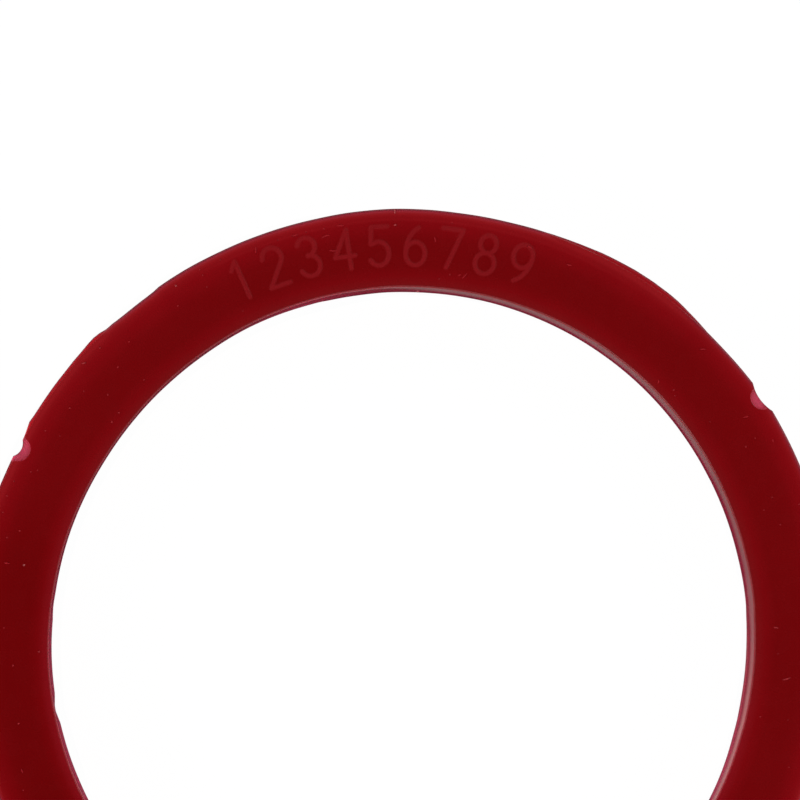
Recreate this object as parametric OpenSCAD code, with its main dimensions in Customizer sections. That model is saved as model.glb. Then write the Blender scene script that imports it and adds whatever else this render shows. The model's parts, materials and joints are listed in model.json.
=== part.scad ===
// Flat ring gasket for a brewing group: one piece, moulded in soft silicone.
// It has a rounded rectangular section and half-round relief notches in its rim.
// A notch is two round-ended pockets, one from each face, as pins in the two mould halves
// leave them. Between their ends stays a thin web, which was trimmed off near the rim.
// Lengths are in millimetres. Bearings are in degrees, anticlockwise from +X as seen from above.
// The ring lies on its bottom face at Z = 0, and the Z axis is the axis of the bore.

/* [Ring] */
// Outside diameter of the ring
outer_d = 64; // [50:0.5:80]
// Width of the flat band between the rim and the bore, which leaves a bore of 52.5
band_w = 5.75; // [4:0.25:9]
// Height from the bottom face to the top face
height = 5.5; // [4.5:0.25:9]

/* [Edges] */
// Radius of the two edges at the bore
bore_round = 0.15; // [0.1:0.05:0.8]
// Radius of the two edges at the rim
rim_round = 0.2; // [0.1:0.05:0.8]

/* [Relief notches] */
// Number of notches, spaced evenly round the rim
notch_count = 3; // [1:1:12]
// Bearing of the first notch
notch_bearing = 30; // [0:5:355]
// Radius of a notch, and of the round ends of its pockets
notch_r = 0.92; // [0.6:0.02:1.5]

/* [Webs in the notches] */
// Depth of the middle of a web below the top face
web_drop = 1.1; // [0.8:0.05:2]
// Thickness of a web where it is thinnest
web_t = 0.2; // [0.1:0.05:0.6]
// Width of the shallow scallop left where a web was trimmed
trim_w = 2.5; // [2:0.1:4]
// Depth of that scallop, measured from the rim
trim_depth = 0.25; // [0.15:0.05:0.5]

/* [Hidden] */
outer_r = outer_d / 2;
bore_r = outer_r - band_w;
// Height of the middle of a web above the bottom face
web_level = height - web_drop;
// How far the rim's own curve falls away between the middle and the ends of a scallop
rim_fall = outer_r - sqrt(outer_r ^ 2 - trim_w ^ 2 / 4);
// Depth of a scallop below the chord between its ends, and the radius which that gives it
trim_sag = trim_depth - rim_fall;
trim_r = (trim_sag ^ 2 + trim_w ^ 2 / 4) / (2 * trim_sag);
// How far a cutting shape stands clear of what it cuts
spill = 1;
$fn = 192;

// What a quarter round takes off a corner at the origin, of a solid to its lower left
module corner_waste(r) {
    translate([-r, -r])
        difference() {
            square(r + spill);
            circle(r);
        }
}

// Half section of the ring, with X as the distance from the axis of the bore
module ring_section() {
    difference() {
        translate([bore_r, 0]) square([band_w, height]);
        translate([outer_r, height]) corner_waste(rim_round);
        translate([outer_r, 0]) mirror([0, 1]) corner_waste(rim_round);
        translate([bore_r, height]) mirror([1, 0]) corner_waste(bore_round);
        translate([bore_r, 0]) rotate(180) corner_waste(bore_round);
    }
}

// Puts one copy of a shape on the rim at each notch, with X pointing outwards
module at_each_notch() {
    for (i = [0 : notch_count - 1])
        rotate(notch_bearing + i * 360 / notch_count)
            translate([outer_r, 0, 0])
                children();
}

// Pocket with a round end at the origin, which runs up past a face at the given depth
module pocket(depth) {
    rotate_extrude()
        difference() {
            square([notch_r, depth + spill]);
            translate([notch_r, 0]) mirror([0, 1]) corner_waste(notch_r);
        }
}

// The two pockets of one notch, with the web left between their ends
module notch_pockets() {
    translate([0, 0, web_level + web_t / 2]) pocket(web_drop);
    translate([0, 0, web_level - web_t / 2]) mirror([0, 0, 1]) pocket(web_level);
}

// Shallow scallop over the whole height, where a web was trimmed
module trim_scallop() {
    translate([trim_r - trim_depth, 0, -spill])
        cylinder(r = trim_r, h = height + 2 * spill);
}

module gasket() {
    color([0.45, 0.04, 0.05])
        difference() {
            rotate_extrude() ring_section();
            at_each_notch() {
                notch_pockets();
                trim_scallop();
            }
        }
}

gasket();
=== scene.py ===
"""A red silicone ring gasket on a pale stage, laid out as an add-on and run as a script."""

import json

import bpy
import numpy as np
from mathutils import Matrix, Vector


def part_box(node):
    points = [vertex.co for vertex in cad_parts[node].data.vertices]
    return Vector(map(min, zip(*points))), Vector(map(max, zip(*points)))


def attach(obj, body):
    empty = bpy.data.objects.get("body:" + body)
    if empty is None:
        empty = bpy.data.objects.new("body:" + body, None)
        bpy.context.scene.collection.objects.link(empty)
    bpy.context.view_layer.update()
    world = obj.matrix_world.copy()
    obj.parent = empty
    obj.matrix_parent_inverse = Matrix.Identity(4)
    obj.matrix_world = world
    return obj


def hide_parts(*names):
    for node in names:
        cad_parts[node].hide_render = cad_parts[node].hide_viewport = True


bl_info = {
    "name": "Silicone ring gasket",
    "version": (1, 0, 0),
    "blender": (4, 5, 0),
    "location": "3D View > Sidebar > Gasket",
    "description": "Dresses a moulded silicone ring gasket and lights it on a pale floor",
    "category": "Add Mesh",
}

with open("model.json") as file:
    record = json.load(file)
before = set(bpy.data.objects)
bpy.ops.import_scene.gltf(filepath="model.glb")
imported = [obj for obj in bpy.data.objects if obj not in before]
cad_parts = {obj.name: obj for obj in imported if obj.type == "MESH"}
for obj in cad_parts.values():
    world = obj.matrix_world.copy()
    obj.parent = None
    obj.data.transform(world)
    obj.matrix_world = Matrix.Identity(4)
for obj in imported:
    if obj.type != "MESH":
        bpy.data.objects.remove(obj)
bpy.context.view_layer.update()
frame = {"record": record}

MM = 0.001
RING_NODE = "gasket"
BODY = "root"
MOUNT_SIZES = {m["name"]: m["dims"] for m in frame["record"]["mounts"]}
RIM_RADIUS_MM = MOUNT_SIZES["rim"]["r_mm"]
BORE_RADIUS_MM = MOUNT_SIZES["bore"]["r_mm"]
HEIGHT_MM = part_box(RING_NODE)[1].z / MM
TURN = 2 * np.pi


def length(name, description, mm):
    """A length property with its default in millimetres."""
    return bpy.props.FloatProperty(
        name=name, description=description, default=mm * MM, subtype="DISTANCE", unit="LENGTH"
    )


def angle(name, description, degrees):
    """An angle property with its default in degrees."""
    turn = float(np.radians(degrees))
    return bpy.props.FloatProperty(
        name=name, description=description, default=turn, subtype="ANGLE", unit="ROTATION"
    )


def colour(name, place, linear):
    """A colour property with the place of the colour and a linear default."""
    return bpy.props.FloatVectorProperty(
        name=name, description="Colour " + place, default=linear, min=0, max=1, subtype="COLOR"
    )


class GasketRing(bpy.types.PropertyGroup):
    """Sizes of the moulded ring."""

    rim_radius: length("Rim radius", "Radius of the outer wall", RIM_RADIUS_MM)
    bore_radius: length("Bore radius", "Radius of the inner wall", BORE_RADIUS_MM - 0.05)
    height: length("Height", "Height from the bottom face to the top face", HEIGHT_MM)
    bore_draft: length("Bore draft", "How much less the bore's radius is at the bottom", 0.055)
    rim_round: length("Rim edge", "Radius of the edges at the rim", 0.2)
    bore_round: length("Bore edge", "Radius of the edges at the bore", 0.15)
    notch_edge: length("Notch edge", "Radius of the edges round a notch", 0.05)
    notch_radius: length("Notch radius", "Radius of the notches and of their round ends", 0.92)
    notch_bearing: angle("Notch bearing", "Bearing of the first notch", 30)
    notch_count: bpy.props.IntProperty(
        name="Notches", description="Number of notches round the rim", default=3, min=1
    )
    web_level: length("Web level", "Height of the middle of the webs in the notches", 4.4)
    web_thickness: length("Web thickness", "Thickness of a web where it is thinnest", 0.2)
    cut_slant: bpy.props.FloatProperty(
        name="Cut slant", description="How much deeper a trimming cut gets per height", default=0.1
    )
    lean: length("Out of round", "How far the soft ring is pulled out of round", 0.161)
    lean_bearing: angle("Long axis", "Bearing along which the ring is longest", 48.4)


class GasketMarks(bpy.types.PropertyGroup):
    """The row of plain raised numbers on the top face."""

    count: bpy.props.IntProperty(
        name="Numbers", description="How many numbers, counted from one", default=9, min=1, max=9
    )
    middle: angle("Middle", "Bearing of the middle of the row", 89.7)
    pitch: angle("Pitch", "Bearing from one number to the next", 5.2)
    base_radius: length("Base radius", "Radius on which the numbers stand", 27.85)
    tall: length("Height", "Height of a number along the face", 2.9)
    wide: length("Width", "Width of a number", 1.5)
    stroke: length("Stroke", "Width of a stroke", 0.29)
    shoulder: length("Shoulder", "Width over which a stroke rises from the face", 0.13)
    relief: length("Relief", "How far the strokes stand above the face", 0.05)


class GasketLook(bpy.types.PropertyGroup):
    """Colours and finish of the silicone and of the dust on it. Most of the silicone's colours are
    painted light and shade.
    """

    # The band's deep red, and painted glow where light comes in at the rim, a millimetre in and
    # just inside the edge
    deep: colour("Deep silicone", "in the middle of the band", (0.157, 0.0015, 0.0025))
    near: colour("Shallow silicone", "a millimetre in from the rim", (0.205, 0.0022, 0.0044))
    edge: colour("Edge silicone", "just inside the rim's edge", (0.27, 0.012, 0.0165))
    shade: colour("Shade", "by which the faces are multiplied near the light", (0.9, 0.62, 0.68))
    # Painted glow on the rim's wall, darker on the rounded edge over it, and half a millimetre in
    # from the rim
    rim: colour("Rim silicone", "of the rim's wall", (0.215, 0.006, 0.012))
    rim_edge: colour("Rim edge", "of the rounded edge over it", (0.146, 0.0012, 0.011))
    warm: colour("Warm edge", "half a millimetre in from the rim", (0.262, 0.0068, 0.01))
    # Painted shade along the rim on the far side from the light
    cool: colour("Cool edge", "along the rim on the far side", (0.2, 0.0085, 0.019))
    # Painted glow of light coming through the thin lips
    lip: colour("Lips", "of the thin lips on the rim", (0.7, 0.0155, 0.027))
    # Painted highlight: a pale thin line at the rim's edge
    rim_line: colour("Rim line", "of the thin line on the rim's edge", (0.3, 0.019, 0.031))
    # Painted glow of light coming through the bore's wall, brighter at its foot and brightest at
    # its lower edge
    wall: colour("Bore wall", "of the bore's wall under its edge", (0.215, 0.01, 0.012))
    foot: colour("Wall foot", "of the bore's wall at its foot", (0.36, 0.013, 0.046))
    toe: colour("Wall toe", "of the bore's lower edge", (0.83, 0.092, 0.185))
    glow: colour("Glow", "of the bore's wall where it is brightest", (0.58, 0.03, 0.078))
    sheen: colour("Pale sheen", "of the sheen on the bore's wall", (0.75, 0.3, 0.24))
    # Painted glow on the faces close to the bore, on the side near the light
    glowing_border: colour("Bore border", "of the faces close to the bore", (0.26, 0.004, 0.011))
    # Painted glow of light coming through the thin webs
    thin: colour("Thin silicone", "of the thin webs", (0.65, 0.05, 0.118))
    # Painted sheen on the raised strokes, lighter where they catch the light
    print: colour("Numbers", "of the raised strokes", (0.208, 0.006, 0.0085))
    dust: colour("Dust", "of faint dust and lint", (0.27, 0.0115, 0.016))
    pale: colour("Pale dust", "of the palest dust", (0.7, 0.35, 0.35))
    roughness: bpy.props.FloatProperty(
        name="Roughness", description="Roughness of the moulded skin", default=0.27, min=0, max=1
    )


class GasketDust(bpy.types.PropertyGroup):
    """Dust and lint that lie on the top face."""

    far_pieces: bpy.props.IntProperty(
        name="Far pieces", description="Number of pieces on the far side", default=24, min=0
    )
    seed: bpy.props.IntProperty(name="Seed", description="Seed of their places", default=7)
    hair_width: length("Hair width", "Thickness of a lint hair", 0.11)


class GasketStage(bpy.types.PropertyGroup):
    """Floor, lamps and camera."""

    floor_radius: length("Floor radius", "Radius of the round floor", 2500)
    # How far the floor's painted shadow reaches out from the ring's foot
    foot_shade: length("Foot shade", "How far the dark foot reaches out from the ring", 0.18)
    camera_height: length("Camera height", "Height of the camera above the top face", 400.6)
    camera_offset: length("Camera offset", "How far the camera stands off the ring's axis", 16.76)
    camera_bearing: angle("Camera bearing", "Bearing in which it stands off", 167.4)
    aim_x: length("Aim X", "X of the point at the middle of the picture", 0.919)
    aim_y: length("Aim Y", "Y of the point at the middle of the picture", 17.794)
    view_width: length("View width", "Width of the picture at the top face", 59.387)
    up_bearing: angle("Up bearing", "Bearing that points up in the picture", 86.3)
    lamp_power: bpy.props.FloatProperty(
        name="Lamp power", description="Power of each soft lamp", default=1.0, unit="POWER"
    )


# Shared formulas

def smooth_step(x):
    """Rises from 0 to 1 as x does, with no slope at either end."""
    x = np.clip(x, 0.0, 1.0)
    return x * x * (3.0 - 2.0 * x)


def turn_from(bearings, centre):
    """Bearing counted from a centre, between minus and plus half a turn."""
    return (bearings - centre + np.pi) % TURN - np.pi


def window(bearings, start, end, rise, fall):
    """1 between two bearings in degrees, with smooth ends that take rise and fall degrees."""
    past = (np.degrees(bearings) - start) % 360
    return smooth_step(past / rise) * smooth_step((end - start - past) / fall)


def ripple(bearings, orders, phases):
    """Sum of sines round the ring, each weaker as its order grows, within about 1 either way."""
    waves = [np.sin(n * bearings + p) / n**0.5 for n, p in zip(orders, phases)]
    return sum(waves) / sum(1 / n**0.5 for n in orders)


def swell(radius, bearings, table):
    """A radius with a table of swellings added."""
    return sum((mm * MM * window(bearings, *span) for *span, mm in table), radius)


# The ring's mesh

# Degrees between the grid's columns in general and under the marks, and columns in a notch
COARSE_STEP, MARK_STEP, NOTCH_STEPS = 1.0, 0.135, 24
# Degrees beside a notch in which the rim's edge gets its full radius
BESIDE_NOTCH = 1.5
# Notches, by turns: how far on each stands past its even place in degrees, and how far out
NOTCH_PLACES = ((0.29, 0.19), (-0.11, 0.025), (0.1, 0.0))
# Wide swellings of the rim and of the bore, as windows: start, end, rise and fall in degrees, and
# height in millimetres
SWELLS = (
    (8, 41, 10, 14, 0.19),
    (0.4, 47.3, 30, 6.2, 0.057),
    (44.9, 64.6, 30, 3.8, -0.054),
    (64.3, 75.6, 1.7, 9.1, 0.022),
    (66.5, 84, 6, 6, -0.045),
    (83, 98, 5, 5, 0.045),
    (83, 126.9, 12.1, 5.6, -0.029),
    (110, 122.4, 8, 1.6, 0.045),
    (121, 129.4, 1.6, 2, -0.05),
    (125, 130.8, 7.6, 1.5, 0.096),
    (135.5, 156.5, 1.5, 3, -0.024),
    (214, 246, 14, 12, 0.08),
    (300, 341, 18, 14, 0.06),
)
BORE_SWELLS = (
    (0, 11, 2.5, 7, 0.045),
    (22.7, 52.9, 2, 4, -0.018),
    (88, 104, 6, 6, -0.03),
    (98.3, 170.5, 5.1, 2.5, -0.034),
    (108, 162, 16, 18, -0.085),
    (168, 224.9, 11.9, 6.3, 0.041),
    (340, 382.9, 3, 9.7, 0.024),
)
# How much further out the bore's foot stands than its top, in the same way
BORE_FLARES = (
    (70.6, 100, 15.5, 2, -0.037),
    (100.2, 176.2, 13.5, 30, 0.072),
    (171.1, 213.4, 2, 13, -0.061),
    (302.3, 347.5, 12, 18, 0.15),
    (354.3, 412.5, 6.6, 4, 0.027),
)
# Lips that trimming left on the rim, in the same way, with their reach
LIPS = (
    (38.5, 72, 10.5, 19, 0.44),
    (129.3, 139.5, 2.4, 7, 0.31),
    (129.6, 149.5, 2.4, 1, 0.25),
    (143.2, 148.5, 2.4, 1.5, 0.31),
    (149.5, 176, 1, 16, 0.15),
    (205, 236, 10, 14, 0.24),
    (290, 322, 6, 9, 0.28),
)
# Nick in the bore's lower edge, and its depth
NICK, NICK_DEPTH = (184.8, 190.4, 2.8, 2.8), 0.17 * MM
# Trimming cuts across the notches: bearing, radius of the cut and its depth below the rim
CUTS = ((30.4, 3.3, -0.03), (149.7, 1, 0.19), (149, 6.5, -0.04), (270.1, 3, 0.2))
# A lip's own half thickness, and the heights of its lines off its middle, per half web
LIP_THICKNESS = 1.12
LIP_LINES = np.array([0.45, 0.85, 1.05, 1.18, 1.28, 1.4])
# Radius of the rim's edge over a lip, and reach of the faint ridge that runs all round
LIP_EDGE, RIDGE = 0.02 * MM, 0.03 * MM
# Weaker parts of the pull out of round: times the bearing, bearing in degrees, and share
LEAN_PARTS = ((3, 57.8, 0.137), (5, 35.7, 0.13))
# Slight waves: their height in both walls, and the orders and phases of each set
WAVE = 0.006 * MM
RIM_WAVES = (17, 31, 53), (4.0, 5.3, 0.7)
BORE_WAVES = (11, 23, 41), (2.2, 4.4, 1.1)
LIP_WAVES = (37, 61, 97, 143), (0.0, 1.9, 3.3, 5.1)


def notches(ring):
    """Bearing of each notch, and distance of its centre from the ring's axis."""
    found = []
    for k in range(ring.notch_count):
        past, out = NOTCH_PLACES[k % len(NOTCH_PLACES)]
        bearing = ring.notch_bearing + TURN * k / ring.notch_count + np.radians(past)
        found.append((bearing, ring.rim_radius + out_of_round(ring, bearing) + out * MM))
    return found


def column_bearings(ring, marks):
    """Bearings of the grid's columns: even steps round the ring, finer ones under the marks, and
    those of points evenly spaced along the half circle of each notch."""
    half_marks = marks.pitch * marks.count / 2 + np.radians(0.5)
    half_notch = np.arcsin(ring.notch_radius / ring.rim_radius)
    beside = half_notch + np.radians(BESIDE_NOTCH)
    round_notch = np.sin(np.linspace(-np.pi / 2, np.pi / 2, NOTCH_STEPS))
    in_notch = np.arcsin(ring.notch_radius / ring.rim_radius * round_notch)
    ramp = np.arange(half_notch, beside, np.radians(0.2))[1:]
    fans = [(marks.middle, half_marks, np.arange(-half_marks, half_marks, np.radians(MARK_STEP)))]
    fan = np.concatenate([-ramp[::-1], in_notch, ramp])
    fans += [(centre, beside, fan) for centre, _ in notches(ring)]
    even = np.radians(np.arange(0, 360, COARSE_STEP))
    for centre, half, _ in fans:
        even = even[np.abs(turn_from(even, centre)) > half]
    every = np.concatenate([even] + [centre + steps for centre, _, steps in fans])
    return np.sort(every % TURN)


def out_of_round(ring, bearings):
    """The pull out of round: a cosine of twice the bearing from the long axis, with weaker ones of
    three and five times the bearing."""
    pull = np.cos(2 * (bearings - ring.lean_bearing))
    for times, degrees, part in LEAN_PARTS:
        pull = pull + part * np.cos(times * (bearings - np.radians(degrees)))
    return ring.lean * pull


def own_rim(ring, bearings):
    """Rim radius before notches and lips: the round one, pulled out of round, with swellings and
    slight waves."""
    radius = ring.rim_radius + out_of_round(ring, bearings)
    return swell(radius, bearings, SWELLS) + WAVE * ripple(bearings, *RIM_WAVES)


def lip_reach(bearings):
    """How far the trimming lips stand out at the parting plane: a faint ridge all round, and a
    window for each lip, made ragged by a ripple."""
    ragged = 1 + 0.05 * ripple(bearings, *LIP_WAVES)
    reach = RIDGE * ragged
    for *span, mm in LIPS:
        reach = np.maximum(reach, mm * MM * ragged * window(bearings, *span))
    return reach


def over_lip(bearings):
    """1 along each lip and 0 away from all of them."""
    return np.max([window(bearings, *span) for *span, _ in LIPS], axis=0)


def lip_section(ring, z):
    """Share of a lip's reach at a height: a flat-topped bump on the parting plane."""
    half_lip = LIP_THICKNESS * ring.web_thickness / 2
    return np.exp(-(((z - ring.web_level) / half_lip) ** 8))


def pocket_radius(ring, z):
    """Radius of a notch's pockets at a height: full along their straight part, a circle's chord in
    their round ends, and nothing inside the web between them."""
    depth = np.abs(z - ring.web_level) - ring.web_thickness / 2
    end = np.clip(ring.notch_radius - depth, 0.0, None)
    return np.sqrt(np.clip(ring.notch_radius**2 - end**2, 0.0, None)) * (depth > 0)


def near_side(centre, radius, off):
    """Distance from the ring's axis to the near side of a circle centred on bearing zero, and
    infinity where a ray at bearing off misses it."""
    gap = radius**2 - (centre * np.sin(off)) ** 2
    hit = (gap > 0) & (np.abs(off) < np.pi / 2)
    return np.where(hit, centre * np.cos(off) - np.sqrt(np.clip(gap, 0.0, None)), np.inf)


def cut_wall(ring, bearings, z):
    """Radius left by the trimming cuts: the near side of each cut's circle, which leans, so that
    it goes deeper the higher it is."""
    wall = np.inf
    for degrees, radius, depth in CUTS:
        centre = np.radians(degrees)
        rim = ring.rim_radius + out_of_round(ring, centre)
        deep = depth * MM + ring.cut_slant * (z - ring.web_level)
        off = turn_from(bearings, centre)
        wall = np.minimum(wall, near_side(rim - deep + radius * MM, radius * MM, off))
    return wall


def rim_wall(ring, bearings, z):
    """Radius of the rim at bearings and heights: the least of the rim with its lips, the pockets of
    each notch and the trimming cuts."""
    wall = own_rim(ring, bearings) + lip_reach(bearings) * lip_section(ring, z)
    pocket = pocket_radius(ring, z)
    for centre, middle in notches(ring):
        wall = np.minimum(wall, near_side(middle, pocket, turn_from(bearings, centre)))
    return np.minimum(wall, cut_wall(ring, bearings, z))


def bore_wall(ring, bearings, z):
    """Radius of the bore: round, pulled out of round, with slight waves and swellings. It changes
    evenly from top to foot, with a nick in the lower edge that fades out below the top face."""
    radius = ring.bore_radius + out_of_round(ring, bearings)
    radius = swell(radius + WAVE * ripple(bearings, *BORE_WAVES), bearings, BORE_SWELLS)
    nick = NICK_DEPTH * window(bearings, *NICK)
    low = 1 - smooth_step(z / (0.85 * ring.height))
    flare = swell(0.0, bearings, BORE_FLARES) - ring.bore_draft
    return radius + flare * (1 - z / ring.height) + nick * low


def edge_round(ring, bearings):
    """Radius of the edge at the rim: small over lips and round a notch, full elsewhere."""
    half_notch = np.arcsin(ring.notch_radius / ring.rim_radius)
    least = ring.rim_round + (LIP_EDGE - ring.rim_round) * over_lip(bearings)
    for centre, _ in notches(ring):
        off = np.abs(turn_from(bearings, centre))
        away = smooth_step((off - half_notch) / np.radians(BESIDE_NOTCH))
        least = np.minimum(least, ring.notch_edge + (ring.rim_round - ring.notch_edge) * away)
    return least


def face_shares(ring, marks):
    """Places of the top face's lines between the bore and the rim, from 1 to 0, close together
    where the marks are."""
    inner = ring.bore_radius + ring.bore_round
    outer = ring.rim_radius - ring.rim_round
    low = marks.base_radius - marks.stroke
    high = marks.base_radius + marks.tall + marks.stroke
    lines = round((high - low) / (0.08 * MM))
    beyond, under = np.linspace(outer, high, 11), np.linspace(high, low, lines)
    radii = np.concatenate([beyond[:-1], under[:-1], np.linspace(low, inner, 5)])
    return (radii - inner) / (outer - inner)


def wall_heights(ring, edge):
    """Heights of the rim wall's lines from the bottom up, between edges of a radius. Near the web
    they are close together and follow equal turns of the pockets' round ends."""
    turns = np.linspace(0, np.pi / 2, 10)[None, 2:]
    half_web = ring.web_thickness / 2
    by_lip = half_web * LIP_LINES[None, :] + 0 * edge
    lower = ring.web_level - half_web - ring.notch_radius * (1 - np.cos(turns)) + 0 * edge
    span = ring.height - edge - ring.web_level - half_web
    upper = ring.web_level + half_web + span * (1 - np.cos(turns))
    below = edge + (lower[:, -1:] - edge) * np.linspace(0, 1, 5)[None, :-1]
    middle = [ring.web_level - by_lip[:, ::-1], ring.web_level + 0 * edge, ring.web_level + by_lip]
    return np.concatenate([below, lower[:, ::-1], *middle, upper], axis=1)


def ring_section(ring, marks, bearings):
    """Radius and height of every grid point, as two arrays of columns by lines. The lines run in
    along the top face, down the bore, out along the bottom face and up the rim, with four lines
    on each rounded edge between them."""
    b = bearings[:, None]
    top, r_bore = ring.height, ring.bore_round
    r_rim = edge_round(ring, b)
    bore_top, bore_bottom = bore_wall(ring, b, top), bore_wall(ring, b, 0.0)
    rim_top, rim_bottom = rim_wall(ring, b, top), rim_wall(ring, b, 0.0)
    shares = face_shares(ring, marks)[None, :]
    bottom_shares = np.linspace(0, 1, 8)[None, :]
    turns = np.linspace(0, np.pi / 2, 6)[None, 1:-1]
    low, far = 1 - np.sin(turns), 1 - np.cos(turns)
    levels = np.linspace(top - r_bore, r_bore, 7)[None, :]
    heights = wall_heights(ring, r_rim)
    flat = np.zeros_like(b)
    blocks = [
        (bore_top + r_bore + (rim_top - r_rim - bore_top - r_bore) * shares, top + flat),
        (bore_top + r_bore * low, top - r_bore * far),
        (bore_wall(ring, b, levels), levels + flat),
        (bore_bottom + r_bore * far, r_bore * low),
        (bore_bottom + r_bore + (rim_bottom - r_rim - bore_bottom - r_bore) * bottom_shares, flat),
        (rim_bottom - r_rim * low, r_rim * far),
        (rim_wall(ring, b, heights), heights),
        (rim_top - r_rim * far, top - r_rim * low),
    ]
    shaped = [np.broadcast_arrays(*block) for block in blocks]
    return [np.concatenate(parts, axis=1) for parts in zip(*shaped)]


# The raised numbers

def bend(cx, cy, rx, ry, start, end, steps=12):
    """Points of an arc of an ellipse, from one angle in degrees to another."""
    a = np.radians(np.linspace(start, end, steps))
    return list(zip(cx + rx * np.cos(a), cy + ry * np.sin(a)))


# Each number as strokes in a box one wide and one tall, with its foot at zero
NUMBERS = (
    [[(0.22, 0.8), (0.55, 1), (0.55, 0)]],
    [bend(0.5, 0.74, 0.48, 0.26, 175, -35) + [(0, 0), (1, 0)]],
    [bend(0.46, 0.76, 0.44, 0.24, 160, -90), bend(0.46, 0.27, 0.5, 0.27, 90, -160)],
    [[(0.72, 0), (0.72, 1), (0, 0.32), (1, 0.32)]],
    [[(0.92, 1), (0.12, 1), (0.06, 0.56)] + bend(0.44, 0.31, 0.5, 0.31, 125, -150)],
    [bend(0.5, 0.3, 0.48, 0.3, 0, 360, 24), bend(1, 0.3, 0.98, 0.72, 180, 112)],
    [[(0, 1), (1, 1), (0.36, 0)]],
    [bend(0.5, 0.77, 0.4, 0.23, 0, 360, 24), bend(0.5, 0.27, 0.48, 0.27, 0, 360, 24)],
    [bend(0.5, 0.7, 0.48, 0.3, 0, 360, 24), bend(0, 0.7, 0.98, 0.72, 0, -68)],
)


def mark_segments(marks):
    """The strokes of the whole row as straight pieces, each a pair of end points on the top face.
    Each number stands on its own radius, upright to it, and the row runs clockwise."""
    segments = []
    for k in range(marks.count):
        place = marks.middle + marks.pitch * ((marks.count - 1) / 2 - k)
        outward = np.array([np.cos(place), np.sin(place)])
        onward = np.array([np.sin(place), -np.cos(place)])
        for stroke in NUMBERS[k]:
            flat = np.array(stroke)
            along = (flat[:, :1] - 0.5) * marks.wide
            up = marks.base_radius + flat[:, 1:] * marks.tall
            points = along * onward + up * outward
            segments += zip(points[:-1], points[1:])
    return segments


def stroke_share(marks, x, y):
    """How much of a stroke's full height the face has at points: all within half a stroke of the
    nearest piece, falling smoothly to nothing over the shoulder."""
    nearest = np.inf
    for (ax, ay), (bx, by) in mark_segments(marks):
        dx, dy = bx - ax, by - ay
        t = np.clip(((x - ax) * dx + (y - ay) * dy) / (dx * dx + dy * dy), 0.0, 1.0)
        nearest = np.minimum(nearest, np.hypot(x - ax - t * dx, y - ay - t * dy))
    fall = (nearest - marks.stroke / 2 + marks.shoulder / 2) / marks.shoulder
    return 1 - smooth_step(fall)


# Meshes and objects

def new_object(name, data, material=None):
    """A new object in the scene. One that is a mesh also takes its material."""
    thing = bpy.data.objects.new(name, data)
    bpy.context.scene.collection.objects.link(thing)
    if material:
        data.materials.append(material)
    return thing


def new_mesh(name, points, faces):
    """A smooth mesh of an array of points and faces."""
    mesh = bpy.data.meshes.new(name)
    mesh.from_pydata(points.reshape(-1, 3).tolist(), [], faces)
    mesh.shade_smooth()
    return mesh


def grid_faces(columns, lines):
    """Faces of a grid that closes on itself both ways, as an array of columns by lines by the four
    point numbers of a face, in the order that faces it outwards."""
    index = np.arange(columns * lines).reshape(columns, lines)
    onward = np.roll(index, -1, axis=0)
    corners = [index, np.roll(index, -1, axis=1), np.roll(onward, -1, axis=1), onward]
    return np.stack(corners, axis=-1)


def add_values(mesh, name, values):
    """Stores a number for each point under a name."""
    data = mesh.attributes.new(name, "FLOAT", "POINT").data
    data.foreach_set("value", values.astype(np.float32).ravel())


# The light and shade painted into the silicone's colour, which the mesh stores for its material.
# Most functions below take the ring, a column of bearings, and the radius and the height of every
# grid point.

# Depths that light from the rim and from the bore reaches
RIM_DEPTH, BORE_DEPTH = 4 * MM, 2 * MM
# The rim's fine line, a painted bright line with a darker step in behind it: how far in it is, its
# width, and that of the step behind it
LINE_IN, LINE_WIDTH, LINE_STEP = 0.82 * MM, 0.09 * MM, 0.2 * MM
# Depths in from the rim, as shares of RIM_DEPTH, that stand for the rim's edge and for a lip
EDGE_STOP, LIP_STOP = 0.012, 0.1
# Widths over which colours fade: at a lip's tip, at the rim's edge and along the painted shade of
# the far rim, then for the shade and the painted glow of the border at the bore, and with the
# thickness of a web
TIP_FADE, EDGE_FADE, FAR_SHADE_FADE = 0.2 * MM, 0.1 * MM, 0.45 * MM
SHADE_FADE, BORDER_GLOW_FADE, WEB_FADE = 1.3 * MM, 0.8 * MM, 1.1 * MM
# Share of the lips' painted glow all round and more on their lit side, and of the two painted
# sheens
LIP_LEVEL, LIT_LIP_LEVEL, SHEEN_LEVEL, FOOT_LEVEL = 0.35, 0.58, 0.55, 0.3
# What the depth of the bore's wall counts as just below its edge
DROP_START = 0.15
# Stretches of the ring as windows: start, end, rise and fall in degrees
DIM_RIM, FINE_LINE, SHADED_FAR_RIM = (35, 150, 25, 30), (50, 118, 9, 9), (335, 409, 15, 8)
LIT_LIPS, SHADED = (118, 178, 8, 30), (150, 330, 16, 30)
LIT_TOP, LIT_BORDER = (82, 114, 12, 12), (130, 362, 60, 30)
SHEEN, FOOT_SHEEN = (315, 364, 14, 28), (322, 366, 16, 14)
# Glow of the bore's wall at bearings in degrees
WALL_GLOW = (
    (2, 10, 24, 60, 92, 102, 125, 165, 177, 198, 270, 334, 346, 356),
    (0.18, 0.08, 0, 0, 0.08, 0.45, 0.45, 0.6, 0.9, 1, 1, 0.7, 0.38, 0.25),
)
# How much of the painted bright edge is skipped at bearings in degrees, as a share of the rim's
# depth
EDGE_SKIP = (
    (0, 46, 52, 60, 66, 124, 130, 146, 152, 200),
    (0, 0, 0.01, 0.01, 0, 0, 0.01, 0.01, -0.02, -0.02),
)


def off_tip(ring, b, radius):
    """0 at a lip's tip, and 1 from a fifth of a millimetre in."""
    return smooth_step((lip_reach(b) + own_rim(ring, b) - radius) / TIP_FADE)


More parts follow.
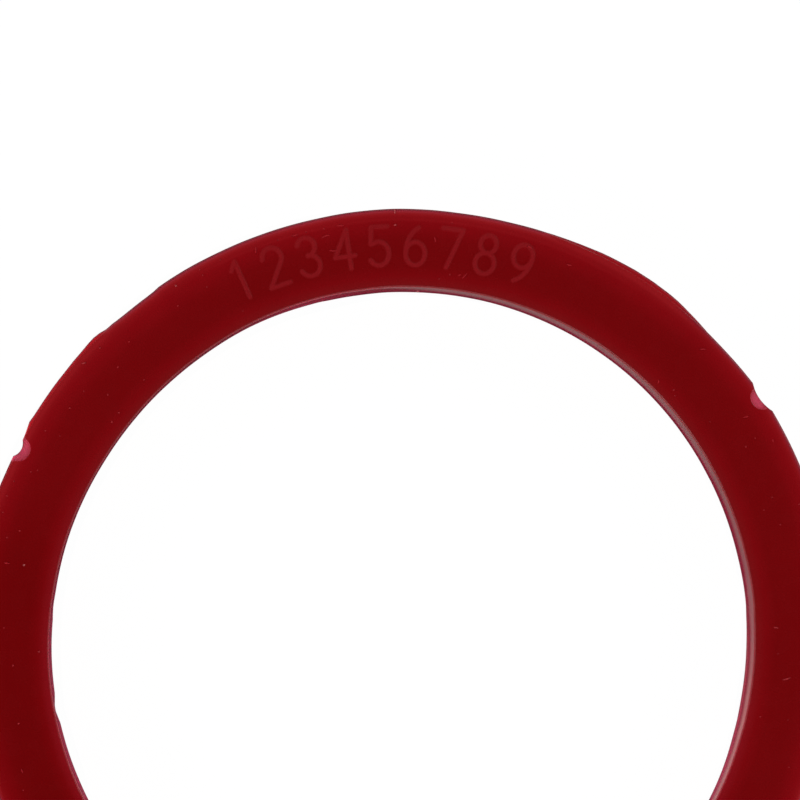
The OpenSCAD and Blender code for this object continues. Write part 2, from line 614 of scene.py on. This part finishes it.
def rim_depth(ring, b, radius, z):
    """Distance in from the rim as a share of the depth that light reaches, which sets the painted
    glow from the rim. It is less where the ring turns away from the light, with a jump at the fine
    line, which paints a bright line. It is 0 on the rim's wall, more on the edge over it, and more
    still on the lips and on the edge over them."""
    inside = own_rim(ring, b) - radius
    reach = 1.3 - 0.3 * window(b, *DIM_RIM)
    past = inside - LINE_IN
    line = 0.3 * np.exp(-((past / LINE_WIDTH) ** 2)) - 0.1 * smooth_step(past / LINE_STEP)
    jump = 1 - window(b, *FINE_LINE) * line
    skipped = np.interp(np.degrees(b), *EDGE_SKIP, period=360)
    depth = inside * reach * jump / RIM_DEPTH + skipped * smooth_step(inside / EDGE_FADE)
    from_edge = z - ring.height + ring.rim_round
    least = EDGE_STOP * smooth_step(from_edge / (0.5 * ring.rim_round))
    on_lip = (z > ring.height - 2.5 * LIP_EDGE) | (inside < -0.012 * MM)
    floor = LIP_STOP * smooth_step(3 * over_lip(b)) * off_tip(ring, b, radius)
    return np.clip(depth, np.maximum(least, floor * on_lip), 1.0)


def bore_depth(ring, b, radius, z):
    """Distance out from the bore as a share of the depth that light from there reaches."""
    return np.clip((radius - bore_wall(ring, b, ring.height)) / BORE_DEPTH, 0.0, 1.0)


def shade(ring, b, radius, z):
    """How much deeper the red of the faces is: most on the side near the light, and less close to
    the bore."""
    return window(b, *SHADED) * smooth_step((radius - ring.bore_radius) / SHADE_FADE)


def lip_glow(ring, b, radius, z):
    """How much of the lips' painted glow shows, light coming through the thin lips: most of it on
    the lit side of the ring and less elsewhere, fading towards the lip's tip."""
    out = radius - own_rim(ring, b)
    level = LIP_LEVEL + LIT_LIP_LEVEL * window(b, *LIT_LIPS)
    return level * off_tip(ring, b, radius) * smooth_step((out - 0.02 * MM) / EDGE_FADE)


def far_rim_shade(ring, b, radius, z):
    """How much painted shade shows along the rim on the far side from the light: all of it at the
    rim, none half a millimetre in."""
    return window(b, *SHADED_FAR_RIM) * (1 - smooth_step((own_rim(ring, b) - radius) / FAR_SHADE_FADE))


def bore_glow(ring, b, radius, z):
    """How brightly the bore's wall glows: most on the side near the light."""
    return np.interp(np.degrees(b) + 0 * radius, *WALL_GLOW, period=360)


def bore_lit(ring, b, radius, z):
    """The same glow, stronger above the foot along a stretch at the top of the picture."""
    above = smooth_step((z / ring.height - 0.2) / 0.2)
    return bore_glow(ring, b, radius, z) + 0.4 * window(b, *LIT_TOP) * above


def bore_sheen(ring, b, radius, z):
    """How much of the pale sheen shows where the bore's wall faces the light: about half of it on
    the wall's upper part, and a third of it at the foot."""
    up = z / ring.height
    band = smooth_step((up - 0.5) / 0.22) * smooth_step((0.97 - up) / 0.2)
    foot = 1 - smooth_step((up - 0.15) / 0.22)
    return SHEEN_LEVEL * window(b, *SHEEN) * band + FOOT_LEVEL * window(b, *FOOT_SHEEN) * foot


def bore_border_glow(ring, b, radius, z):
    """How much painted glow reddens the faces close to the bore, on the side near the light."""
    off = smooth_step(bore_depth(ring, b, radius, z) * BORE_DEPTH / BORDER_GLOW_FADE)
    return 0.5 * window(b, *LIT_BORDER) * (1 - off)


def bore_drop(ring, b, radius, z):
    """Depth of the bore's wall below its edge: 0 on the faces, and 1 at the wall's foot."""
    within = (bore_wall(ring, b, z) + ring.bore_round - radius) / ring.bore_round
    on_wall = smooth_step(within) * (z < ring.height - 0.3 * ring.bore_round)
    down = 1 - z / ring.height
    return on_wall * np.clip(DROP_START + (1 - DROP_START) * down, 0.0, 1.0)


def thinness(ring, b, radius, z):
    """How thin the silicone is, from 0 to 1: on the webs it falls off exponentially with the web's
    own thickness there, and elsewhere it is 0."""
    web, webs = 2 * np.abs(z - ring.web_level), 0.0
    for centre, middle in notches(ring):
        apart = np.sqrt(radius**2 + middle**2 - 2 * radius * middle * np.cos(turn_from(b, centre)))
        inside = apart < ring.notch_radius + 0.02 * MM
        inside = inside * smooth_step((cut_wall(ring, b, z) - radius) / (0.06 * MM))
        webs = np.maximum(webs, inside * np.exp((ring.web_thickness - web) / WEB_FADE))
    return np.clip(webs, 0.0, 1.0)


# All that the mesh stores, each under its function's name
PAINTED = (rim_depth, bore_depth, shade, lip_glow, far_rim_shade, thinness)
PAINTED += (bore_glow, bore_lit, bore_sheen, bore_border_glow, bore_drop)


# Materials

class Tree:
    """Builds a tree of shader nodes. A value is another node's output, the name of a number that
    the mesh stores, a colour or a plain value."""

    def __init__(self, owner):
        self.nodes, self.links = owner.node_tree.nodes, owner.node_tree.links

    def fill(self, node, inputs):
        """Gives a node's inputs their values, and returns the node."""
        for key, value in inputs.items():
            socket = node.inputs[key]
            if isinstance(value, str):
                value = self.add("Attribute", attribute_name=value).outputs["Fac"]
            if isinstance(value, bpy.types.NodeSocket):
                self.links.new(value, socket)
            elif socket.type == "RGBA":
                socket.default_value = (*value, 1.0)
            else:
                socket.default_value = value
        return node

    def add(self, kind, inputs=None, **settings):
        """A new node with its settings and the values of its inputs."""
        node = self.nodes.new("ShaderNode" + kind)
        for name, value in settings.items():
            setattr(node, name, value)
        return self.fill(node, inputs or {})

    def noise(self, place, scale, detail):
        """Noise at a place."""
        inputs = {"Vector": place, "Scale": scale, "Detail": detail}
        return self.add("TexNoise", inputs).outputs["Fac"]

    def math(self, operation, *values):
        """The result of an operation on up to three values."""
        return self.add("Math", dict(enumerate(values)), operation=operation).outputs[0]

    def spread(self, value, start, end, low=0.0, high=1.0, kind="LINEAR"):
        """A value that runs from start to end, spread from low to high."""
        inputs = {"Value": value, "From Min": start, "From Max": end, "To Min": low, "To Max": high}
        return self.add("MapRange", inputs, interpolation_type=kind).outputs["Result"]

    def ramp(self, value, stops):
        """Colours that change along a value, each stop a place and a colour."""
        node = self.add("ValToRGB", {"Fac": value})
        while len(node.color_ramp.elements) < len(stops):
            node.color_ramp.elements.new(0.5)
        for element, (place, tone) in zip(node.color_ramp.elements, stops):
            element.position = place
            element.color = (*tone, 1.0)
        return node.outputs["Color"]

    def mix(self, factor, first, second, kind="MIX"):
        """A mix of two colours."""
        inputs = {"Factor": factor, 6: first, 7: second}
        return self.add("Mix", inputs, data_type="RGBA", blend_type=kind).outputs[2]

    def seen_as(self, lighting, seen, part=1.0):
        """A shader that lights the scene, and one that the camera sees, up to a part of it."""
        camera = self.add("LightPath").outputs["Is Camera Ray"]
        inputs = {"Fac": self.math("MULTIPLY", camera, part), 1: lighting, 2: seen}
        return self.add("MixShader", inputs).outputs[0]


def new_material(name):
    """A new material, its tree and its Principled BSDF."""
    material = bpy.data.materials.new(name)
    material.use_nodes = True
    return material, Tree(material), material.node_tree.nodes["Principled BSDF"]


def part_way(first, second, part):
    """A colour part of the way from a first one to a second one."""
    return tuple(a + (b - a) * part for a, b in zip(first, second))


def silicone_material(look):
    """Red silicone: deep red inside, with painted light and shade: brighter where light comes in at
    the edges and pink where it is thin, painted shade on the far rim and near the light, and a
    painted sheen on the bore's wall and the raised strokes; with slight cloudiness, uneven gloss
    and a fine moulded skin."""
    material, tree, shader = new_material("red_silicone")
    place = tree.add("TexCoord").outputs["Object"]
    # Painted glow where light comes in at the rim, and below where it comes in at the bore
    from_rim = (
        (0.0, look.rim),
        (EDGE_STOP, look.rim_edge),
        (0.02, look.rim_edge),
        (0.05, look.rim_line),
        (0.075, look.edge),
        (LIP_STOP, look.warm),
        (0.13, part_way(look.near, look.warm, 0.6)),
        (0.16, part_way(look.near, look.warm, 0.35)),
        (0.22, part_way(look.near, look.warm, 0.15)),
        (0.27, look.near),
        (0.42, part_way(look.deep, look.near, 0.65)),
        (0.6, part_way(look.deep, look.near, 0.18)),
        (0.85, look.deep),
    )
    from_bore = (
        (0.0, (look.deep[0], look.edge[1] / 2, look.edge[2] / 2)),
        (0.13, (look.deep[0] * 1.15, look.edge[1] / 3, look.edge[2] / 3)),
        (0.4, part_way(look.deep, look.near, 0.5)),
        (0.8, look.deep),
    )
    by_rim = tree.ramp("rim_depth", from_rim)
    by_bore = tree.ramp("bore_depth", from_bore)
    faces = tree.mix(1.0, by_rim, by_bore, "LIGHTEN")
    # Painted shade near the light and along the far rim, and painted glow at the bore's border on
    # the lit side
    faces = tree.mix("shade", faces, look.shade, "MULTIPLY")
    faces = tree.mix("far_rim_shade", faces, look.cool)
    faces = tree.mix("bore_border_glow", faces, look.glowing_border)
    # The bore's wall: painted glow of light coming through it, and a painted pale sheen where it
    # faces the light
    drop = "bore_drop"
    side = tree.mix(tree.spread(drop, 0.45, 0.7, kind="SMOOTHSTEP"), look.wall, look.foot)
    below_top = tree.spread(drop, DROP_START, 0.4, 0.4, 1.0)
    lit = tree.math("MULTIPLY", "bore_lit", below_top)
    side = tree.mix(lit, side, look.glow)
    side = tree.mix("bore_sheen", side, look.sheen)
    lowest = tree.math("MULTIPLY_ADD", "bore_glow", 0.6, drop)
    side = tree.mix(tree.spread(lowest, 0.9, 1.25), side, look.toe)
    on_wall = tree.spread(drop, DROP_START - 0.02, DROP_START)
    tone = tree.mix(on_wall, faces, side)
    # Painted sheen on the raised strokes, and painted glow through the thin lips and webs
    for name, top in (("numbers", look.print), ("lip_glow", look.lip), ("thinness", look.thin)):
        tone = tree.mix(name, tone, top)
    clouds = tree.spread(tree.noise(place, 260.0, 3.0), 0.0, 1.0, 0.93, 1.07)
    tone = tree.add("HueSaturation", {"Value": clouds, "Color": tone}).outputs["Color"]
    patches, least = tree.noise(place, 900.0, 2.0), look.roughness - 0.05
    rough = tree.spread(patches, 0.0, 1.0, least, least + 0.1)
    rough = tree.math("MULTIPLY", rough, tree.spread(on_wall, 0.0, 1.0, 1.0, 0.45))
    rough = tree.math("MULTIPLY_ADD", "thinness", 0.5, rough)
    grain = {"Strength": 0.25, "Distance": 0.004 * MM, "Height": tree.noise(place, 6000.0, 2.0)}
    skin = tree.add("Bump", grain).outputs["Normal"]
    tree.fill(shader, {"Base Color": tone, "Roughness": rough, "Normal": skin})
    tree.fill(shader, {"IOR": 1.41, "Specular IOR Level": 0.3})
    return material


def dust_material(look):
    """Dust from faint to pale, without any gloss."""
    material, tree, shader = new_material("dust")
    tone = tree.mix("paleness", look.dust, look.pale)
    tree.fill(shader, {"Base Color": tone, "Roughness": 0.8, "Specular IOR Level": 0.0})
    return material


# Dust

def spindles(centres, headings, lengths, widths, bows, rings=5, sides=5):
    """Points and faces of long ellipsoids that lie flat, each bowed along its length."""
    along = np.linspace(-0.8, 0.8, rings)[None, :, None]
    around = np.linspace(0, TURN, sides, endpoint=False)[None, None, :]
    n = len(centres)
    size = lengths[:, None, None] / 2
    thick = widths[:, None, None] / 2 * np.sqrt(1 - along**2)
    forward = along * size + 0 * around
    sideways = bows[:, None, None] * size * along**2 + thick * np.cos(around)
    rise = 0.4 * thick * np.sin(around) + 0 * along
    body = np.stack([forward, sideways, rise], axis=-1).reshape(n, rings * sides, 3)
    ends = np.zeros((n, 2, 3))
    ends[:, 0, 0], ends[:, 1, 0] = -lengths / 2, lengths / 2
    ends[:, :, 1] = (bows * lengths / 2)[:, None]
    local = np.concatenate([body, ends], axis=1)
    c, s = np.cos(headings)[:, None], np.sin(headings)[:, None]
    ahead, aside, up = local[..., 0], local[..., 1], local[..., 2]
    turned = [c * ahead - s * aside, s * ahead + c * aside, up]
    points = np.stack(turned, axis=-1) + centres[:, None, :]
    tip, last = rings * sides, (rings - 1) * sides
    pairs = [(k, (k + 1) % sides) for k in range(sides)]
    faces = grid_faces(rings, sides)[:-1, :, [0, 3, 2, 1]].reshape(-1, 4).tolist()
    faces += [(tip, a, b) for a, b in pairs] + [(tip + 1, last + b, last + a) for a, b in pairs]
    return points, [[v + k * (tip + 2) for v in face] for k in range(n) for face in faces]


# Specks and hairs that stand out: bearing, radius and length in millimetres, and the heading and
# the paleness where these are not nothing
DUST = (
    (165.1, 28.6, 0.17, 0, 0.2), (350.5, 28.67, 0.65, 11, 0.035), (96.5, 29.36, 0.6, 176),
    (165.3, 29.87, 0.45, 167), (40.4, 31.09, 0.48, 174), (358.22, 27.76, 0.36, 168, 0.035),
    (62.4, 30.5, 0.42, 162), (76.7, 27.41, 0.55, 42), (41.6, 27.04, 0.32, 74),
    (188.5, 29.08, 0.17, 20), (29.3, 30.46, 0.45, 13), (137.7, 26.98, 0.16),
    (13.3, 29.37, 0.13, 90), (180, 28.9, 0.16, 30), (136.6, 28.45, 0.15, 70),
    (119, 31.22, 0.17, 140, 0.09), (24.6, 31.29, 0.24, 100), (132.4, 31.21, 0.16),
    (132.6, 29.25, 0.15, 50), (39, 27.42, 0.16), (135.4, 31.32, 0.36, 8, 0.05),
    (139.5, 26.96, 0.17, 110), (17.4, 29.44, 0.13), (68.4, 30.69, 0.45, 151), (141.5, 30.09, 0.14),
    (77.5, 27.42, 0.22, 30), (79, 27.37, 0.13), (151.4, 29.83, 0.11, 80),
    (195.2, 29.76, 0.36, 109), (158.6, 31.1, 0.13), (160.4, 29.51, 0.15), (146, 30.7, 0.13),
    (25.7, 29.3, 0.14, 60), (344.2, 27.15, 0.12), (94.9, 31.13, 0.5, 179), (97.2, 30.54, 0.68, 17),
    (101.3, 31.08, 0.58, 8), (107, 30.93, 0.48, 87), (81.7, 29.84, 0.42, 95),
    (87.4, 31.86, 0.38, 87, 0.15), (87.4, 30.83, 0.2, 0, 0.055), (178.1, 26.95, 0.17, 0, 0.02),
    (156.3, 31.2, 0.13), (15.2, 31.17, 0.12, 20), (161.8, 30.27, 0.13), (115.1, 31.35, 0.12, 60),
    (152, 30.24, 0.12), (97.2, 31.08, 0.12), (115.1, 30.88, 0.12, 100), (131.2, 27.21, 0.12),
    (120.3, 29.88, 0.12, 30), (80.6, 26.95, 0.12), (112, 31.3, 0.12), (38.2, 27.19, 0.11),
    (174.5, 29.53, 0.11, 70), (79.6, 31.21, 0.11), (16.1, 28.55, 0.11), (115.4, 29.96, 0.11, 40),
    (128.9, 30.02, 0.11), (99.7, 31.14, 0.11), (154.1, 31.12, 0.11, 90), (197.8, 30.18, 0.11),
    (26.1, 30.21, 0.11), (103.7, 31.11, 0.11), (138.4, 30, 0.11, 10), (354.2, 27.9, 0.11),
    (338.1, 30.19, 0.1), (31.7, 28.02, 0.1), (344.6, 29.22, 0.1, 50), (145.6, 29.57, 0.1),
    (112.3, 27.15, 0.1), (83.5, 26.18, 0.2, 173, 0.42),
)
# Longest speck, and height of the specks that sit on the bore's wall
LONGEST_SPECK, WALL_SPECK_LEVEL = 0.2 * MM, 1.0 * MM


def scatter(ring, marks, dust):
    """Places, headings, lengths, widths, bows and paleness of the dust: the listed pieces, and
    others drawn from one seed on the far side. One longer than a fifth of a millimetre is a hair,
    and one inside the bore's radius sits low on the bore's wall."""
    draw = np.random.default_rng(dust.seed)
    listed = np.array([(*row, 0, 0)[:5] for row in DUST]).T
    n = dust.far_pieces
    is_hair = draw.uniform(0, 1, n) < 0.4
    far_lengths = np.where(is_hair, draw.uniform(0.25, 0.65, n), draw.uniform(0.1, 0.16, n))
    bearings = np.concatenate([np.radians(listed[0]), np.radians(draw.uniform(205, 335, n))])
    radius = MM * np.concatenate([listed[1], draw.uniform(26.9, 31.3, n)])
    lengths = MM * np.concatenate([listed[2], far_lengths])
    headings = np.concatenate([np.radians(listed[3]), draw.uniform(0, np.pi, n)])
    hairs = lengths > LONGEST_SPECK
    widths = np.where(hairs, dust.hair_width, 0.8 * lengths)
    bows = np.where(hairs, draw.uniform(-0.15, 0.15, len(lengths)), 0.0)
    x, y = radius * np.cos(bearings), radius * np.sin(bearings)
    z = ring.height + marks.relief * stroke_share(marks, x, y) + 0.1 * widths
    z = np.where(radius < ring.bore_radius, WALL_SPECK_LEVEL, z)
    paleness = np.concatenate([listed[4], draw.uniform(0, 0.05, n)]) + np.where(hairs, 0.0, 0.02)
    return (np.stack([x, y, z], axis=-1), headings, lengths, widths, bows), paleness


# Operators

class GASKET_OT_ring(bpy.types.Operator):
    """Builds the silicone ring as one closed skin."""

    bl_idname = "gasket.ring"
    bl_label = "Silicone ring"

    def execute(self, context):
        scene = context.scene
        ring, marks = scene.gasket_ring, scene.gasket_marks
        bearings = column_bearings(ring, marks)
        radius, z = ring_section(ring, marks, bearings)
        b = bearings[:, None]
        x, y = radius * np.cos(b), radius * np.sin(b)
        near = np.abs(turn_from(bearings, marks.middle)) < marks.pitch * marks.count / 2 + 0.02
        face = slice(0, len(face_shares(ring, marks)))
        strokes = np.zeros_like(z)
        strokes[near, face] = stroke_share(marks, x[near, face], y[near, face])
        stored = {paint.__name__: paint(ring, b, radius, z) for paint in PAINTED}
        points = np.stack([x, y, z + marks.relief * strokes], axis=-1)
        faces = grid_faces(*radius.shape).reshape(-1, 4).tolist()
        mesh = new_mesh("silicone_ring", points, faces)
        for name, values in {**stored, "numbers": strokes}.items():
            add_values(mesh, name, values)
        piece = new_object("silicone_ring", mesh, silicone_material(scene.gasket_look))
        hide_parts(RING_NODE)
        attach(piece, BODY)
        return {"FINISHED"}


class GASKET_OT_dust(bpy.types.Operator):
    """Scatters dust and lint on the top face."""

    bl_idname = "gasket.dust"
    bl_label = "Dust and lint"

    def execute(self, context):
        scene = context.scene
        pieces, paleness = scatter(scene.gasket_ring, scene.gasket_marks, scene.gasket_dust)
        points, faces = spindles(*pieces)
        mesh = new_mesh("dust", points, faces)
        add_values(mesh, "paleness", np.repeat(paleness, points.shape[1]))
        piece = new_object("dust", mesh, dust_material(scene.gasket_look))
        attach(piece, BODY)
        return {"FINISHED"}


class GASKET_OT_stage(bpy.types.Operator):
    """Adds the floor, the lamps, the world and the camera."""

    bl_idname = "gasket.stage"
    bl_label = "Stage"

    def execute(self, context):
        scene = context.scene
        add_floor(scene.gasket_stage, scene.gasket_ring)
        add_world(scene)
        add_lamps(scene.gasket_stage)
        add_camera(scene, scene.gasket_stage, scene.gasket_ring)
        scene.view_settings.view_transform = "Standard"
        return {"FINISHED"}


# Stretches where the floor's painted shadow at the foot is wider: start, end, rise and fall in
# degrees, and how much wider it is there as a share of its own width
FOOT_WIDER = (
    (84.5, 206, 14, 10, 2.5), (325, 368, 22, 14, 0.75), (80, 94, 6, 4, 0.4), (4, 30, 4, 12, 0.5)
)
# Painted light and shadow on the floor's lines from its middle outwards
FLOOR_LIT = (1, 1, 0.06, 0.06, 1, 1)
# Surround from below to above: place on the ramp and level
SURROUND = ((0, 0.45), (0.15, 0.9), (0.5, 0.9), (0.68, 0))
# Bearing of the bright side
LIGHT_BEARING = float(np.radians(205))
# Soft lamps: name, place in metres and share of the lamps' power
LAMPS = (("lamp_main", (-0.45, -0.4, 0.33), 1.2), ("lamp_fill", (0.5, 0.35, 0.3), 0.9))


def add_floor(stage, ring):
    """A flat floor that the camera sees almost white, and that keeps the ring's soft shadow. Its
    lines follow the ring's foot, and its colour is dark close to the foot: a painted shadow where
    no light gets."""
    b = np.radians(np.arange(0, 360, 2.0))[:, None]
    inner, outer = bore_wall(ring, b, 0.0), own_rim(ring, b)
    wider = sum(part * window(b, *span) for *span, part in FOOT_WIDER)
    near = stage.foot_shade * (1 + wider)
    far = near + 0.06 * MM
    lines = [0.5 * inner, inner - far, inner - near, outer + near, outer + far]
    radius = np.concatenate([*lines, 0 * b + stage.floor_radius], axis=1)
    flat = np.stack([radius * np.cos(b), radius * np.sin(b), 0 * radius], axis=-1)
    faces = grid_faces(*radius.shape)[:, :-1].reshape(-1, 4).tolist()
    middle = list(range(0, radius.size, radius.shape[1]))
    mesh = new_mesh("floor", flat, [*faces, middle])
    add_values(mesh, "lit", np.array(FLOOR_LIT) + 0 * radius)
    material, tree, shader = new_material("pale_floor")
    tree.nodes.remove(shader)
    tone = tree.mix("lit", (0, 0, 0), (0.4, 0.4, 0.4))
    matte = tree.add("BsdfDiffuse", {"Color": tone}).outputs[0]
    white = tree.add("Emission", {"Strength": 1.04}).outputs[0]
    tree.fill(tree.nodes["Material Output"], {"Surface": tree.seen_as(matte, white, 0.95)})
    floor = new_object("floor", mesh, material)


def add_world(scene):
    """A soft surround, white to the camera. It is dark overhead and brightest at the sides, and
    its level grows towards the bright one."""
    scene.world = bpy.data.worlds.new("studio")
    scene.world.use_nodes = True
    tree = Tree(scene.world)
    place = tree.add("TexCoord").outputs["Generated"]
    up = tree.add("SeparateXYZ", {0: place}).outputs["Z"]
    tone = tree.ramp(up, [(at, (level, level, level)) for at, level in SURROUND])
    bright = (np.cos(LIGHT_BEARING), np.sin(LIGHT_BEARING), 0.0)
    side = tree.add("VectorMath", {0: place, 1: bright}, operation="DOT_PRODUCT")
    level = tree.math("MULTIPLY_ADD", side.outputs["Value"], 0.4, 2.6)
    soft = tree.fill(tree.nodes["Background"], {"Color": tone, "Strength": level}).outputs[0]
    white = tree.add("Background", {"Color": (1.0, 1.0, 1.0)}).outputs[0]
    tree.fill(tree.nodes["World Output"], {"Surface": tree.seen_as(soft, white)})


def add_lamps(stage):
    """Two soft square lamps for the highlights, strong on the bright side and weak opposite."""
    for name, place, part in LAMPS:
        lamp = bpy.data.lights.new(name, "AREA")
        lamp.size = 0.4
        lamp.energy = stage.lamp_power * part
        holder = new_object(name, lamp)
        holder.location = place
        holder.rotation_euler = Vector(place).to_track_quat("Z", "Y").to_euler()


def add_camera(scene, stage, ring):
    """A long lens almost straight above the ring, aimed at the upper part of its band."""
    lens = bpy.data.cameras.new("camera")
    camera = new_object("camera", lens)
    off, bearing = stage.camera_offset, stage.camera_bearing
    eye = Vector((off * np.cos(bearing), off * np.sin(bearing), ring.height + stage.camera_height))
    aim = Vector((stage.aim_x, stage.aim_y, ring.height))
    back = (eye - aim).normalized()
    up = Vector((np.cos(stage.up_bearing), np.sin(stage.up_bearing), 0.0))
    right = up.cross(back).normalized()
    axes = Matrix((right, back.cross(right), back)).transposed()
    camera.matrix_world = Matrix.Translation(eye) @ axes.to_4x4()
    lens.lens = lens.sensor_width * (eye - aim).length / stage.view_width
    lens.clip_start = 0.01
    scene.camera = camera


class GASKET_PT_panel(bpy.types.Panel):
    """Lists the gasket's operators and their settings."""

    bl_label = "Gasket"
    bl_space_type = "VIEW_3D"
    bl_region_type = "UI"
    bl_category = "Gasket"

    def draw(self, context):
        for operator in OPERATORS:
            self.layout.operator(operator.bl_idname)
        for name, kind in SETTINGS.items():
            box = self.layout.box()
            for key in kind.__annotations__:
                box.prop(getattr(context.scene, name), key)


SETTINGS = {
    "gasket_ring": GasketRing,
    "gasket_marks": GasketMarks,
    "gasket_look": GasketLook,
    "gasket_dust": GasketDust,
    "gasket_stage": GasketStage,
}
OPERATORS = (GASKET_OT_stage, GASKET_OT_ring, GASKET_OT_dust)
CLASSES = (*SETTINGS.values(), *OPERATORS, GASKET_PT_panel)


def register():
    """Registers the classes and puts the settings on the scene."""
    for kind in CLASSES:
        bpy.utils.register_class(kind)
    for name, kind in SETTINGS.items():
        setattr(bpy.types.Scene, name, bpy.props.PointerProperty(type=kind))


def unregister():
    """Takes the settings off the scene and unregisters the classes."""
    for name in SETTINGS:
        delattr(bpy.types.Scene, name)
    for kind in reversed(CLASSES):
        bpy.utils.unregister_class(kind)


def main():
    register()
    bpy.ops.gasket.stage()
    bpy.ops.gasket.ring()
    bpy.ops.gasket.dust()


if __name__ == "__main__":
    main()
